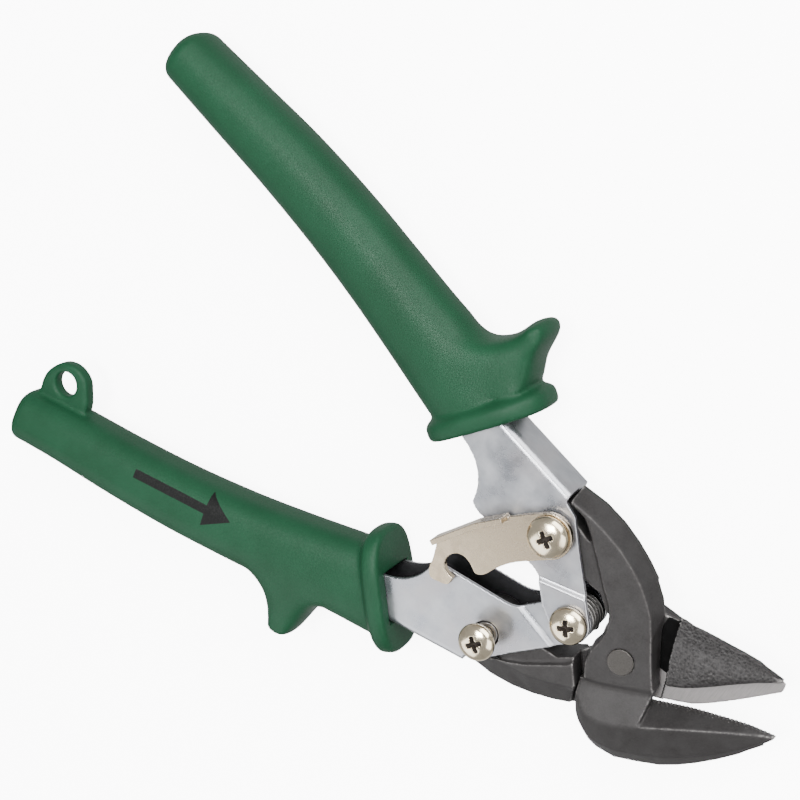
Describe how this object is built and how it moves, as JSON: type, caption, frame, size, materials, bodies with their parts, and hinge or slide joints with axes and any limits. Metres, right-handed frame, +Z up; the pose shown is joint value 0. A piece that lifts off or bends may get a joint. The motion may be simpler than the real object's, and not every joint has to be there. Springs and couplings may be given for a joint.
{
  "type": "aviation snips",
  "caption": "Offset compound-leverage aviation snips with green moulded grips, plated channel handles, forged half-lapped blades, a return spring and a hook latch.",
  "frame": {"origin": "bottom centre of the box round the tool, which lies on its far side with the handles open", "axes": "+X along the bisector of the handles towards the jaws, +Y towards the upper handle, +Z up, normal to the blades, towards the latch side"},
  "size_m": [0.238, 0.1422, 0.0276],
  "materials": {
    "forged_steel": "black oxide forging, ground edges",
    "nickel_plate": "bright plated pressed steel",
    "latch_plate": "nickel plated, warm satin",
    "screw_nickel": "nickel plated, bright",
    "dark_steel": "oiled dark steel",
    "green_grip": "moulded vinyl, satin, fine grain"
  },
  "bodies": {
    "lower_handle": {"lower_channel": "nickel_plate", "lower_grip": "green_grip", "handle_pivot_screw": "screw_nickel", "handle_pivot_bushing": "dark_steel", "handle_pivot_nut": "screw_nickel", "torsion_spring": "dark_steel", "latch_post_screw": "screw_nickel", "latch_post_sleeve": "screw_nickel", "latch_post_bushing": "dark_steel", "latch_post_nut": "screw_nickel"},
    "upper_handle": {"upper_channel": "nickel_plate", "upper_grip": "green_grip", "upper_tang_screw": "screw_nickel", "upper_tang_bushing": "dark_steel", "upper_tang_nut": "screw_nickel", "latch_washer": "dark_steel"},
    "far_blade": {"far_blade": "forged_steel", "blade_pivot_pin": "dark_steel", "blade_pivot_washer": "nickel_plate", "blade_pivot_nut": "screw_nickel"},
    "near_blade": {"near_blade": "forged_steel"},
    "latch": {"latch_lever": "latch_plate"}
  },
  "joints": [
    {"name": "handle_pivot", "type": "hinge", "parent": "lower_handle", "child": "upper_handle", "pos_m": [0.05997, -0.00171, 0.012], "axis": [0, 0, 1], "range_deg": [0, 28], "stiffness_Nm_per_rad": 0.2, "springref_deg": -68.75, "deforming": ["torsion_spring"]},
    {"name": "lower_tang_pivot", "type": "hinge", "parent": "lower_handle", "child": "far_blade", "pos_m": [0.04286, -0.02025, 0.012], "axis": [0, 0, 1], "range_deg": [0, 6.4]},
    {"name": "blade_pivot", "type": "hinge", "parent": "far_blade", "child": "near_blade", "pos_m": [0.07644, -0.00171, 0.012], "axis": [0, 0, 1], "range_deg": [0, 15.8]},
    {"name": "latch_hinge", "type": "hinge", "parent": "upper_handle", "child": "latch", "pos_m": [0.04286, 0.01682, 0.0215], "axis": [0, 0, 1], "range_deg": [-12, 20]}
  ],
  "couplings": [
    {"joint": "lower_tang_pivot", "follows": "handle_pivot", "ratio": 0.2223},
    {"joint": "blade_pivot", "follows": "handle_pivot", "ratio": 0.5555}
  ]
}
